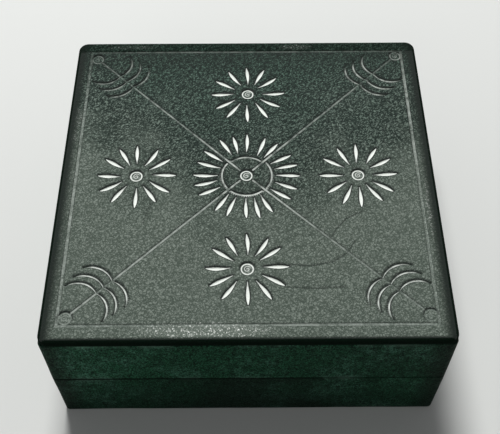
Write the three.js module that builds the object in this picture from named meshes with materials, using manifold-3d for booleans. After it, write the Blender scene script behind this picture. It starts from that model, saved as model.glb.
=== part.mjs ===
// A square leather-covered keepsake box with a lift-off lid that slides over an inner neck.
// Millimetres, +Z up. The origin is the middle of the underside, and the front faces -Y.
import * as THREE from 'three';
import Module from 'manifold-3d';

const wasm = await Module();
wasm.setup();

// Outside of the closed box, measured over the turned-down edge of the tooled top
const boxWidth = 250;
const boxDepth = 250;
const boxHeight = 100;
const baseHeight = 49.7; // from the table to the rim that the lid rests on
const cornerRadius = 7; // corners seen from above, at the widest outline
const sharpestCorner = 1.2; // least radius that a skin takes round a corner

// Films and running gaps
const glueFilm = 0.3; // between two pieces that are pasted together
const seamGap = 0.3; // between the lid's edge and the base's rim
const lidPlay = 0.8; // on each side between the lid and the neck

// Leathers
const topLeather = 2.4; // thick tooling hide of the lid's top
const topEdgeRadius = 3.6; // round edge of the top
const lipDepth = 4.4; // how far the top hide turns down over the sides
const lipEdgeRadius = 0.5;
const sideLeather = 1.2; // thin hide round the sides
const sideEdgeRadius = 0.9; // where the side hide folds over an edge
const turnIn = 12; // side hide folded to the inside
const turnUnder = 15; // side hide folded under the base
const undersidePanel = 1.5; // leather panel that the box stands on

// Boards
const wallBoard = 3.5;
const floorBoard = 3.5;
const lidBoard = 3.5;
const lidBoardEase = 1; // rounded top edge of the lid's board

// Neck, the inner collar that guides the lid
const neckBoard = 2.5;
const neckRise = 14; // above the base's rim
const neckSkirt = 8; // neck cloth pasted down outside, below the rim
const neckCornerRadius = 3;

// Linings
const lining = 0.8;

// Ornament cut by hand into the tooled top: five rosettes, a ring round the middle one, corner fans
const gougeLength = 14.8; // one push of the gouge, from its pointed tip inwards
const gougeWidth = 2.8;
const gougeDepth = 1;
const veinerWidth = 1.2; // of the curved strokes
const veinerDepth = 0.6;
const cutterOverrun = 0.4; // how far a cutter stands above the hide
const outerRosetteRadius = 25.3; // to the tips of its cuts
const outerRosetteCuts = 12;
const middleRosetteRadius = 34.4;
const middleQuarterCuts = 5; // in each of four groups, between the diagonals
const middleCutAngle = 16.2; // degrees from one cut of a group to the next
const ringRadius = 16.3;
const ringArcAngle = 76; // degrees of each of the ring's four arcs
const rosetteReachShare = 0.588; // of half the box, from its middle to an outer rosette's middle
const fanInset = 15.9; // from the outline to the point that a corner's fan springs from
const fanPairs = 3;
const fanFirstReach = 24.6; // from that point to where the first two arcs meet
const fanPitch = 6.85;
const fanFirstRadius = 13.6;
const fanRadiusGrowth = 0.8; // from one pair of arcs to the next
const fanFirstAside = 4.3; // from the diagonal to the middle of an arc
const fanAsideGrowth = 1.1;
const fanFirstAngle = 78; // degrees from the diagonal to the far end of an arc
const fanAngleLoss = 8;

// Along a stroke: places as shares of its length, and half widths as shares of the full one
const gougeShares = [[0, 0.06], [0.12, 0.62], [0.32, 1], [0.52, 0.8], [0.76, 0.3], [1, 0.06]];
const veinerShares = [[0, 0.3], [0.15, 1], [0.32, 1], [0.5, 1], [0.68, 1], [0.85, 1], [1, 0.3]];
const gougeFloorShare = 0.55; // of its width, the flat bottom of a cut
const veinerFloorShare = 0.3;

// Fineness of the round stretches, in steps for each quarter turn
const cornerSteps = 6;
const edgeSteps = 4;

// Insets of each layer from the widest outline
const sideFace = topLeather + glueFilm - sideLeather - glueFilm;
const sideBack = sideFace + sideLeather;
const boardFace = sideBack + glueFilm;
const boardBack = boardFace + wallBoard;
const turnInFace = boardBack + glueFilm;
const turnInBack = turnInFace + sideLeather;
const neckFace = turnInBack + lidPlay;
const neckBoardFace = neckFace + lining + glueFilm;
const neckBoardBack = neckBoardFace + neckBoard;
const neckLiningFace = neckBoardBack + glueFilm;
const neckBack = neckLiningFace + lining;

// Heights of each layer above the table
const floorBoardBottom = undersidePanel + glueFilm;
const floorTop = floorBoardBottom + floorBoard;
const liningBottom = floorTop + glueFilm;
const baseWallTop = baseHeight - sideLeather - glueFilm;
const neckTop = baseHeight + neckRise;
const lidBottom = baseHeight + seamGap;
const lidWallBottom = lidBottom + sideLeather + glueFilm;
const lipBottom = boxHeight - lipDepth;
const lidBoardTop = boxHeight - topLeather - glueFilm;
const lidBoardBottom = lidBoardTop - lidBoard;
const lidLiningTop = lidBoardBottom - glueFilm;

// Finishes
const topHide = new THREE.MeshStandardMaterial({ color: 0x4b5550, roughness: 0.55, metalness: 0 });
const sideHide = new THREE.MeshStandardMaterial({ color: 0x17352b, roughness: 0.6, metalness: 0 });
const underHide = new THREE.MeshStandardMaterial({ color: 0x14201c, roughness: 0.8, metalness: 0 });
const card = new THREE.MeshStandardMaterial({ color: 0x9b8f7a, roughness: 0.9, metalness: 0 });
const suede = new THREE.MeshStandardMaterial({ color: 0x20382f, roughness: 0.95, metalness: 0 });

// A point of a section through the box's side: how far in from the widest outline, and how high
const at = (inset, height) => new THREE.Vector2(inset, height);

// Points of a quarter turn in a section, from one angle to another round a centre, in degrees
function bend(centre, radius, fromAngle, toAngle) {
  const points = [];
  for (let step = 0; step <= edgeSteps; step += 1) {
    const angle = THREE.MathUtils.degToRad(fromAngle + (toAngle - fromAngle) * step / edgeSteps);
    points.push(at(centre.x + radius * Math.cos(angle), centre.y + radius * Math.sin(angle)));
  }
  return points;
}

// The rounded square at one inset, as points in plan, going round to the left
function outline(inset, plumbRadius) {
  const radius = Math.max(plumbRadius - inset, sharpestCorner);
  const reachX = boxWidth / 2 - inset - radius;
  const reachY = boxDepth / 2 - inset - radius;
  const points = [];
  for (let corner = 0; corner < 4; corner += 1) {
    const signX = corner === 0 || corner === 3 ? 1 : -1;
    const signY = corner < 2 ? 1 : -1;
    for (let step = 0; step <= cornerSteps; step += 1) {
      const angle = (corner + step / cornerSteps) * Math.PI / 2;
      points.push(new THREE.Vector2(
        signX * reachX + radius * Math.cos(angle),
        signY * reachY + radius * Math.sin(angle),
      ));
    }
  }
  return points;
}

// A section carried round the box. A ring's section closes on itself. A slab's section runs from
// the middle of one flat face to the middle of the other, and both faces are filled in.
function carryRound(section, isRing, plumbRadius = cornerRadius) {
  const rings = section.map((point) => outline(point.x, plumbRadius));
  const count = rings[0].length;
  const positions = [];
  const indices = [];
  rings.forEach((ring, level) => ring.forEach((p) => positions.push(p.x, p.y, section[level].y)));
  const bands = isRing ? section.length : section.length - 1;
  for (let band = 0; band < bands; band += 1) {
    const low = band * count;
    const high = ((band + 1) % section.length) * count;
    for (let step = 0; step < count; step += 1) {
      const next = (step + 1) % count;
      indices.push(low + step, low + next, high + next);
      indices.push(low + step, high + next, high + step);
    }
  }
  if (!isRing) {
    const first = positions.length / 3;
    positions.push(0, 0, section[0].y, 0, 0, section[section.length - 1].y);
    const last = (section.length - 1) * count;
    for (let step = 0; step < count; step += 1) {
      const next = (step + 1) % count;
      indices.push(first, next, step);
      indices.push(first + 1, last + step, last + next);
    }
  }
  const geometry = new THREE.BufferGeometry();
  geometry.setAttribute('position', new THREE.Float32BufferAttribute(positions, 3));
  geometry.setIndex(indices);
  geometry.computeVertexNormals();
  return geometry;
}

// A closed section goes up on its outer side, so that the faces point out
function ring(section, plumbRadius) {
  const upOutside = THREE.ShapeUtils.isClockWise(section) ? section : [...section].reverse();
  return carryRound(upOutside, true, plumbRadius);
}

const slab = (section) => carryRound(section, false);

function piece(name, geometry, material) {
  const mesh = new THREE.Mesh(geometry, material);
  mesh.name = name;
  return mesh;
}

// A flat sheet or board with square edges
function plate(name, inset, bottom, thickness, material) {
  return piece(name, slab([at(inset, bottom), at(inset, bottom + thickness)]), material);
}

// Four boards set round a square, mitred at the corners, their outer corners rounded together
function boardFrame(prefix, face, thickness, bottom, height, roundness) {
  const frame = new THREE.Group();
  const sides = ['front', 'right', 'back', 'left'];
  sides.forEach((side, turn) => {
    const isAcross = turn % 2 === 0;
    const halfLength = (isAcross ? boxWidth : boxDepth) / 2 - face - glueFilm / 2;
    const away = (isAcross ? boxDepth : boxWidth) / 2 - face;
    const radius = Math.max(roundness - face, sharpestCorner);
    const plan = new THREE.Shape();
    plan.moveTo(radius - halfLength, -away);
    plan.absarc(halfLength - radius, radius - away, radius, -Math.PI / 2, -Math.PI / 4, false);
    plan.lineTo(halfLength - thickness, thickness - away);
    plan.lineTo(thickness - halfLength, thickness - away);
    plan.absarc(radius - halfLength, radius - away, radius, -Math.PI * 3 / 4, -Math.PI / 2, false);
    const geometry = new THREE.ExtrudeGeometry(plan, {
      depth: height,
      bevelEnabled: false,
      curveSegments: cornerSteps,
    });
    const board = piece(`${prefix}_${side}_board`, geometry, card);
    board.rotation.z = turn * Math.PI / 2;
    board.position.z = bottom;
    frame.add(board);
  });
  return frame;
}

// A body that cuts one stroke: stations are its places in plan, with the half width at each
function strokeCutter(stations, fullHalf, depth, floorShare) {
  const positions = [];
  stations.forEach(({ place, half }, index) => {
    const before = stations[Math.max(index - 1, 0)].place;
    const after = stations[Math.min(index + 1, stations.length - 1)].place;
    const aside = after.clone().sub(before).normalize().rotateAround(new THREE.Vector2(), Math.PI / 2);
    const bottom = boxHeight - depth * half / fullHalf;
    const section = [
      [half, boxHeight + cutterOverrun],
      [half, boxHeight],
      [half * floorShare, bottom],
      [-half * floorShare, bottom],
      [-half, boxHeight],
      [-half, boxHeight + cutterOverrun],
    ];
    section.forEach(([off, height]) => {
      positions.push(place.x + aside.x * off, place.y + aside.y * off, height);
    });
  });
  const count = positions.length / 3 / stations.length;
  const indices = [];
  for (let station = 0; station < stations.length - 1; station += 1) {
    for (let step = 0; step < count; step += 1) {
      const here = station * count + step;
      const beside = station * count + (step + 1) % count;
      indices.push(here, here + count, beside + count, here, beside + count, beside);
    }
  }
  const last = (stations.length - 1) * count;
  for (let step = 1; step < count - 1; step += 1) {
    indices.push(0, step, step + 1, last, last + step + 1, last + step);
  }
  return solidOf(positions, indices);
}

// A closed mesh as a solid that can be cut
function solidOf(positions, indices) {
  return new wasm.Manifold(new wasm.Mesh({
    numProp: 3,
    vertProperties: new Float32Array(positions),
    triVerts: new Uint32Array(indices),
  }));
}

// One cut of the gouge, from its tip towards the middle of its rosette
function gougeCut(centre, tipRadius, degrees) {
  const angle = THREE.MathUtils.degToRad(degrees);
  const outward = new THREE.Vector2(Math.cos(angle), Math.sin(angle));
  const stations = gougeShares.map(([alongShare, widthShare]) => ({
    place: outward.clone().multiplyScalar(tipRadius - gougeLength * alongShare).add(centre),
    half: gougeWidth / 2 * widthShare,
  }));
  return strokeCutter(stations, gougeWidth / 2, gougeDepth, gougeFloorShare);
}

// One curved stroke of the veiner, from one angle to another in degrees
function veinerArc(centre, radius, fromAngle, toAngle) {
  const stations = veinerShares.map(([alongShare, widthShare]) => {
    const angle = THREE.MathUtils.degToRad(fromAngle + (toAngle - fromAngle) * alongShare);
    const outward = new THREE.Vector2(Math.cos(angle), Math.sin(angle));
    return { place: outward.multiplyScalar(radius).add(centre), half: veinerWidth / 2 * widthShare };
  });
  return strokeCutter(stations, veinerWidth / 2, veinerDepth, veinerFloorShare);
}

// The middle rosette with its ring, four outer rosettes on the axes, and a fan in each corner
function ornamentCutters() {
  const cutters = [];
  const middle = new THREE.Vector2();
  for (let quarter = 0; quarter < 4; quarter += 1) {
    const heading = quarter * 90;
    for (let cut = 0; cut < middleQuarterCuts; cut += 1) {
      const aside = (cut - (middleQuarterCuts - 1) / 2) * middleCutAngle;
      cutters.push(gougeCut(middle, middleRosetteRadius, heading + aside));
    }
    cutters.push(veinerArc(middle, ringRadius, heading - ringArcAngle / 2, heading + ringArcAngle / 2));
    const away = THREE.MathUtils.degToRad(heading);
    const centre = new THREE.Vector2(
      boxWidth / 2 * rosetteReachShare * Math.cos(away),
      boxDepth / 2 * rosetteReachShare * Math.sin(away),
    );
    for (let cut = 0; cut < outerRosetteCuts; cut += 1) {
      cutters.push(gougeCut(centre, outerRosetteRadius, cut * 360 / outerRosetteCuts));
    }
    cutters.push(...fanCutters(heading + 45));
  }
  return cutters;
}

// Pairs of arcs that meet on the diagonal and open towards the corner
function fanCutters(heading) {
  const diagonal = THREE.MathUtils.degToRad(heading);
  const spring = new THREE.Vector2(
    Math.sign(Math.cos(diagonal)) * (boxWidth / 2 - fanInset),
    Math.sign(Math.sin(diagonal)) * (boxDepth / 2 - fanInset),
  );
  const cutters = [];
  for (let pair = 0; pair < fanPairs; pair += 1) {
    const radius = fanFirstRadius + fanRadiusGrowth * pair;
    const aside = fanFirstAside + fanAsideGrowth * pair;
    const meet = Math.asin(aside / radius);
    const reach = fanFirstReach + fanPitch * pair - radius * Math.cos(meet);
    const nearAngle = -THREE.MathUtils.radToDeg(meet);
    const farAngle = fanFirstAngle - fanAngleLoss * pair;
    for (const side of [-1, 1]) {
      const centre = new THREE.Vector2(reach, side * aside);
      centre.rotateAround(new THREE.Vector2(), diagonal + Math.PI).add(spring);
      const inward = heading + 180;
      cutters.push(veinerArc(centre, radius, inward + side * nearAngle, inward + side * farAngle));
    }
  }
  return cutters;
}

// Side hide of the base: round the walls, over the rim to the inside, and under the floor
function makeBaseWallLeather() {
  const bottom = undersidePanel - sideLeather;
  const underEdge = sideFace + turnUnder;
  const round = sideEdgeRadius;
  const section = [
    at(underEdge, bottom),
    at(underEdge, undersidePanel),
    at(sideBack, undersidePanel),
    at(sideBack, baseHeight - sideLeather),
    at(turnInFace, baseHeight - sideLeather),
    at(turnInFace, baseHeight - turnIn),
    at(turnInBack, baseHeight - turnIn),
    ...bend(at(turnInBack - round, baseHeight - round), round, 0, 90),
    ...bend(at(sideFace + round, baseHeight - round), round, 90, 180),
    ...bend(at(sideFace + round, bottom + round), round, 180, 270),
  ];
  return piece('base_wall_leather', ring(section), sideHide);
}

// Side hide of the lid: from under the top's lip down the walls, and over the edge to the inside
function makeLidSideLeather() {
  const top = lipBottom - glueFilm;
  const round = sideEdgeRadius;
  const section = [
    at(sideFace, top),
    ...bend(at(sideFace + round, lidBottom + round), round, 180, 270),
    ...bend(at(turnInBack - round, lidBottom + round), round, 270, 360),
    at(turnInBack, lidBottom + turnIn),
    at(turnInFace, lidBottom + turnIn),
    at(turnInFace, lidBottom + sideLeather),
    at(sideBack, lidBottom + sideLeather),
    at(sideBack, top),
  ];
  return piece('lid_side_leather', ring(section), sideHide);
}

// Thick top hide, moulded over the lid's board, turned down as a lip, and carved on top
function makeLidTopLeather() {
  const ceiling = boxHeight - topLeather;
  const hollowRadius = topEdgeRadius - topLeather;
  const section = [
    ...bend(at(topLeather + hollowRadius, ceiling - hollowRadius), hollowRadius, 90, 180),
    at(topLeather, lipBottom),
    ...bend(at(lipEdgeRadius, lipBottom + lipEdgeRadius), lipEdgeRadius, 270, 180),
    ...bend(at(topEdgeRadius, boxHeight - topEdgeRadius), topEdgeRadius, 180, 90),
  ];
  const plain = slab(section);
  const hide = solidOf(plain.getAttribute('position').array, plain.getIndex().array);
  const tooled = hide.subtract(wasm.Manifold.union(ornamentCutters())).getMesh();
  const geometry = new THREE.BufferGeometry();
  geometry.setAttribute('position', new THREE.BufferAttribute(tooled.vertProperties, 3));
  geometry.setIndex(new THREE.BufferAttribute(tooled.triVerts, 1));
  geometry.computeVertexNormals();
  return piece('lid_top_leather', geometry, topHide);
}

function makeLidTopBoard() {
  const section = [
    at(boardFace, lidBoardBottom),
    ...bend(at(boardFace + lidBoardEase, lidBoardTop - lidBoardEase), lidBoardEase, 180, 90),
  ];
  return piece('lid_top_board', slab(section), card);
}

// Cloth that covers the neck: up from the floor inside it, over its top and a little way down outside
function makeNeckLining() {
  const section = [
    at(neckBack, liningBottom),
    ...bend(at(neckBack - lining, neckTop - lining), lining, 0, 90),
    ...bend(at(neckFace + lining, neckTop - lining), lining, 90, 180),
    at(neckFace, baseHeight - neckSkirt),
    at(neckFace + lining, baseHeight - neckSkirt),
    at(neckFace + lining, neckTop - lining),
    at(neckLiningFace, neckTop - lining),
    at(neckLiningFace, liningBottom),
  ];
  return piece('neck_lining', ring(section, neckFace + neckCornerRadius), suede);
}

function makeLidWallLining() {
  const low = lidBottom + turnIn + glueFilm;
  const high = lidLiningTop - lining - glueFilm;
  const section = [
    at(turnInFace, low),
    at(turnInFace + lining, low),
    at(turnInFace + lining, high),
    at(turnInFace, high),
  ];
  return piece('lid_wall_lining', ring(section), suede);
}

function makeBase() {
  const base = new THREE.Group();
  const neckBottom = liningBottom;
  const panelInset = sideFace + turnUnder + glueFilm;
  const neckHeight = neckTop - lining - glueFilm - neckBottom;
  base.add(
    plate('base_underside_panel', panelInset, 0, undersidePanel, underHide),
    makeBaseWallLeather(),
    plate('base_bottom_board', boardFace, floorBoardBottom, floorBoard, card),
    boardFrame('base', boardFace, wallBoard, liningBottom, baseWallTop - liningBottom, cornerRadius),
    boardFrame('neck', neckBoardFace, neckBoard, neckBottom, neckHeight, neckFace + neckCornerRadius),
    makeNeckLining(),
    plate('base_floor_lining', neckBack + glueFilm, liningBottom, lining, suede),
  );
  return base;
}

function makeLid() {
  const lid = new THREE.Group();
  const wallHeight = lidBoardBottom - glueFilm - lidWallBottom;
  lid.add(
    makeLidTopLeather(),
    makeLidSideLeather(),
    makeLidTopBoard(),
    boardFrame('lid', boardFace, wallBoard, lidWallBottom, wallHeight, cornerRadius),
    plate('lid_top_lining', turnInFace, lidLiningTop - lining, lining, suede),
    makeLidWallLining(),
  );
  return lid;
}

const leatherBox = new THREE.Group();
leatherBox.add(makeBase(), makeLid());

export default leatherBox;
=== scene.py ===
import math
import random

import bmesh
import bpy
import numpy as np
from mathutils import Matrix, Vector, noise


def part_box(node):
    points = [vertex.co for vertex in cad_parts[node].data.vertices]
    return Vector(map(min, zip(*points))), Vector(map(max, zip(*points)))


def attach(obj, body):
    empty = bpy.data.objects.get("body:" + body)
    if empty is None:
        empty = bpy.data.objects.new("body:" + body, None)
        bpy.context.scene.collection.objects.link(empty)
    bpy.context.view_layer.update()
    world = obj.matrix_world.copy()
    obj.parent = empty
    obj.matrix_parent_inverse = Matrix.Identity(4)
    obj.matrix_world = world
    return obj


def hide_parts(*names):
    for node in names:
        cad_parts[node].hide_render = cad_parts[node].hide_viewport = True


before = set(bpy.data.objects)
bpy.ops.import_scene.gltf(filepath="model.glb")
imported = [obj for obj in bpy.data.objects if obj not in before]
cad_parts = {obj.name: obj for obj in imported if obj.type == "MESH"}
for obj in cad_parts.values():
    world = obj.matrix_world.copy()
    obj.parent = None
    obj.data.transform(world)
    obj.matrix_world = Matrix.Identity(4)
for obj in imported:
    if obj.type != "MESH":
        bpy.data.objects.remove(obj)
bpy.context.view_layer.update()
mm = 0.001
print("frame loaded:", len(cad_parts), "nodes")


# camera: where the photographer stood
cameraView = {
    "target": (1.6 * mm, -14.5 * mm, 70 * mm),
    "distance": 601.1 * mm,
    "elevation": 55.05,  # degrees, as the next two
    "yaw": 0.2,
    "roll": -0.18,
    "lens": 63.17,
}


def addObject(name, data):
    made = bpy.data.objects.new(name, data)
    bpy.context.scene.collection.objects.link(made)
    return made


def makeCamera(look):
    elevation, yaw, roll = (math.radians(look[k]) for k in ("elevation", "yaw", "roll"))
    flat = math.cos(elevation)
    ahead = Vector((math.sin(yaw) * flat, math.cos(yaw) * flat, -math.sin(elevation)))
    level = Vector((math.cos(yaw), -math.sin(yaw), 0))
    right = level * math.cos(roll) + level.cross(ahead) * math.sin(roll)
    up = right.cross(ahead)
    camera = addObject("camera", bpy.data.cameras.new("camera"))
    camera.data.lens = look["lens"]
    camera.data.clip_start = 0.01
    turn = Matrix((right, up, -ahead)).transposed()
    place = Vector(look["target"]) - ahead * look["distance"]
    camera.matrix_world = Matrix.Translation(place) @ turn.to_4x4()
    bpy.context.scene.camera = camera


makeCamera(cameraView)


# outline of the box seen from above, and the way a section is carried round it
boxShape = {
    "plumbRadius": 7 * mm,  # corner radius at the widest outline
    "sharpestCorner": 1.2 * mm,
    "cornerSegments": 8,
    "film": 0.3 * mm,  # left free where two pieces would lie in one plane
}
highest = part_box("lid_top_leather")[1]
reachX, reachY = highest.x, highest.y  # half the widest outline
boxTop = highest.z


def cornerAt(inset, plumbRadius):
    # radius of the corners at this inset, and where their centres are
    radius = max(plumbRadius - inset, boxShape["sharpestCorner"])
    return radius, reachX - inset - radius, reachY - inset - radius


def moveToRing(verts, old, new, height):
    # carries a ring of verts from one inset's outline to another's, and sets its height
    for v in verts:
        heart = Vector((max(-old[1], min(old[1], v.co.x)), max(-old[2], min(old[2], v.co.y)), 0))
        away = Vector((v.co.x - heart.x, v.co.y - heart.y, 0)).normalized()
        heart = Vector((heart.x * new[1] / old[1], heart.y * new[2] / old[2], 0))
        v.co = heart + away * new[0]
        v.co.z = height


def roundCorners(bm, corners, radius):
    bmesh.ops.bevel(bm, geom=corners, offset=radius, segments=boxShape["cornerSegments"],
                    profile=0.5, affect="VERTICES", material=-1)


def startRing(bm, inset, height, step, plumbRadius):
    # a square face with rounded corners and divided sides, of which only the outline stays
    radius, heartX, heartY = cornerAt(inset, plumbRadius)
    bmesh.ops.create_grid(bm, x_segments=1, y_segments=1, size=1)
    bmesh.ops.scale(bm, vec=(heartX + radius, heartY + radius, 1), verts=bm.verts)
    roundCorners(bm, bm.verts[:], radius)
    sides = [e for e in bm.edges if e.calc_length() > 4 * radius]
    bmesh.ops.subdivide_edges(bm, edges=sides, cuts=round(2 * heartX / step))
    bmesh.ops.delete(bm, geom=bm.faces[:], context="FACES_ONLY")
    bmesh.ops.translate(bm, vec=(0, 0, height), verts=bm.verts)
    return bm.edges[:]


def extrudeRing(bm, ring, was, inset, height, plumbRadius):
    made = bmesh.ops.extrude_edge_only(bm, edges=ring)["geom"]
    now = cornerAt(inset, plumbRadius)
    moveToRing([g for g in made if isinstance(g, bmesh.types.BMVert)], was, now, height)
    return [g for g in made if isinstance(g, bmesh.types.BMEdge)], now


def carryRound(section, step, plumbRadius, closed=True):
    # a section of (inset, height) points carried round the box: a ring, or a slab with two flat faces
    bm = bmesh.new()
    first = ring = startRing(bm, *section[0], step, plumbRadius)
    was = cornerAt(section[0][0], plumbRadius)
    for inset, height in section[1:]:
        ring, was = extrudeRing(bm, ring, was, inset, height, plumbRadius)
    if closed:
        bmesh.ops.bridge_loops(bm, edges=first + ring)
    else:
        for flat in (first, ring):
            bmesh.ops.edgeloop_fill(bm, edges=flat)
    bmesh.ops.recalc_face_normals(bm, faces=bm.faces[:])
    return bm


def bend(inset, height, radius, fromAngle, toAngle, steps=5):
    # a round stretch of a section, in degrees, 0 towards the inside and 90 up
    angles = [math.radians(fromAngle + (toAngle - fromAngle) * k / steps) for k in range(steps + 1)]
    return [(inset + radius * math.cos(a), height + radius * math.sin(a)) for a in angles]


def divide(start, end, step):
    # points between two points of a section, without the ends
    count = max(1, round(math.dist(start, end) / step))
    return [tuple(a + (b - a) * k / count for a, b in zip(start, end)) for k in range(1, count)]


def meshOf(bm, name, material):
    mesh = bpy.data.meshes.new(name)
    bm.to_mesh(mesh)
    bm.free()
    mesh.materials.append(material)
    return mesh


def finishPiece(name, bm, body, node, material, smooth=True):
    mesh = meshOf(bm, name, material)
    mesh.shade_smooth() if smooth else mesh.shade_flat()
    piece = addObject(name, mesh)
    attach(piece, body)
    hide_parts(node)
    return piece


# materials
def newMaterial(name):
    material = bpy.data.materials.new(name)
    material.use_nodes = True
    return material, material.node_tree.nodes["Principled BSDF"]


def feed(node, inputs):
    # inputs by name or by number, each from a value or from another node's socket
    for key, value in inputs.items():
        if isinstance(value, bpy.types.NodeSocket):
            node.id_data.links.new(value, node.inputs[key])
        else:
            node.inputs[key].default_value = value


def addNode(near, kind, settings=None, inputs=None):
    # near is any node or socket of the same tree
    made = near.id_data.nodes.new(kind)
    for key, value in (settings or {}).items():
        setattr(made, key, value)
    feed(made, inputs or {})
    return made


def objectCoords(shader):
    return addNode(shader, "ShaderNodeTexCoord").outputs["Object"]


def addMath(operation, *values, clamp=False):
    near = next(v for v in values if isinstance(v, bpy.types.NodeSocket))
    settings = {"operation": operation, "use_clamp": clamp}
    return addNode(near, "ShaderNodeMath", settings, dict(enumerate(values))).outputs[0]


def times(a, b):
    return addMath("MULTIPLY", a, b)


def addRange(value, low, high, outLow=0.0, outHigh=1.0, smooth=False):
    made = addNode(value, "ShaderNodeMapRange", {"interpolation_type": "SMOOTHSTEP" if smooth else "LINEAR"},
                   {"Value": value, "From Min": low, "From Max": high, "To Min": outLow, "To Max": outHigh})
    return made.outputs["Result"]


def addMix(factor, a, b):
    return addNode(factor, "ShaderNodeMix", {"data_type": "RGBA"}, {0: factor, 6: a, 7: b}).outputs[2]


def addNoise(coords, scale, detail=3, roughness=0.55):
    made = addNode(coords, "ShaderNodeTexNoise", None,
                   {"Vector": coords, "Scale": scale, "Detail": detail, "Roughness": roughness})
    return made.outputs["Fac"]


def axisOf(coords, axis):
    return addNode(coords, "ShaderNodeSeparateXYZ", None, {"Vector": coords}).outputs[axis]


def attributeOf(near, name):
    return addNode(near, "ShaderNodeAttribute", {"attribute_name": name}).outputs["Fac"]


def addBump(height, distance, strength=1.0, **more):
    inputs = {"Height": height, "Distance": distance, "Strength": strength, **more}
    return addNode(height, "ShaderNodeBump", None, inputs).outputs[0]


def pushAbout(coords, scale, reach, detail):
    # coordinates moved about by a noise, so that a pattern on them wanders
    push = addNode(coords, "ShaderNodeTexNoise", None, {"Vector": coords, "Scale": scale, "Detail": detail})
    return addNode(coords, "ShaderNodeVectorMath", {"operation": "MULTIPLY_ADD"},
                   {0: push.outputs["Color"], 1: (reach,) * 3, 2: coords}).outputs[0]


# what the grain of both hides has in common; four numbers are a range and what it becomes
grainShape = {
    "wander": 0.0015,
    "wanderScale": 0.5,  # this and the next two scales are shares of the pebbles' own
    "broadScale": 0.35,
    "skinScale": 2.3,
    "creaseWidth": 0.12,  # share of a pebble
    "closedUp": (0.50, 0.64, 0.0, 0.5),  # some creases close up
    "skin": (0.34, 0.60, 0.08, 1.0),
    "uneven": (0.3, 0.7, 0.40, 1.0),
    "skinHeight": 0.35,  # beside a pebble
    "flow": 40,  # how the way the pits are drawn out drifts
    "flowReach": 0.014,
    "drawnTurn": 42,  # degrees
    "drawnScale": (1, 0.52, 1),
    "pitEdge": (0.53, 0.45),
}


def leatherGrain(coords, look):
    # rounded pebbles of uneven height, creases between them, longer wrinkles and a fine skin on top
    shape, scale = grainShape, look["pebble"]
    shifted = pushAbout(coords, scale * shape["wanderScale"], shape["wander"], 2)
    cells = addNode(coords, "ShaderNodeTexVoronoi", {"feature": "DISTANCE_TO_EDGE"},
                    {"Vector": shifted, "Scale": scale})
    pebble = addRange(cells.outputs["Distance"], 0.0, shape["creaseWidth"], smooth=True)
    valley = addMath("SUBTRACT", addNoise(shifted, look["wrinkle"], 2), 0.5)
    wrinkle = addRange(addMath("ABSOLUTE", valley), 0.0, look["wrinkleWidth"], smooth=True)
    broad = addNoise(coords, scale * shape["broadScale"], 3)
    pebble = addMath("MAXIMUM", pebble, addRange(broad, *shape["closedUp"]))
    fine = addNoise(coords, scale * shape["skinScale"], 3)
    crest = times(pebble, times(wrinkle, addRange(fine, *shape["skin"])))
    raised = times(crest, addRange(broad, *shape["uneven"]))
    return addMath("MULTIPLY_ADD", fine, shape["skinHeight"], raised), crest, broad


def leatherPits(coords, look):
    # dark dimples, drawn out one way, and the way drifts from place to place
    drifting = pushAbout(coords, grainShape["flow"], grainShape["flowReach"], 1)
    turn = (0, 0, math.radians(grainShape["drawnTurn"]))
    drawn = addNode(coords, "ShaderNodeMapping", {"vector_type": "TEXTURE"},
                    {"Vector": drifting, "Rotation": turn, "Scale": grainShape["drawnScale"]}).outputs[0]
    return addRange(addNoise(drawn, look["pits"], 2, 0.6), *grainShape["pitEdge"], smooth=True)


def wornPatches(look, broad, cloudy):
    patches = addRange(cloudy, *look["wornCloud"])
    return times(patches, addRange(broad, *look["wornBroad"]))


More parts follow.
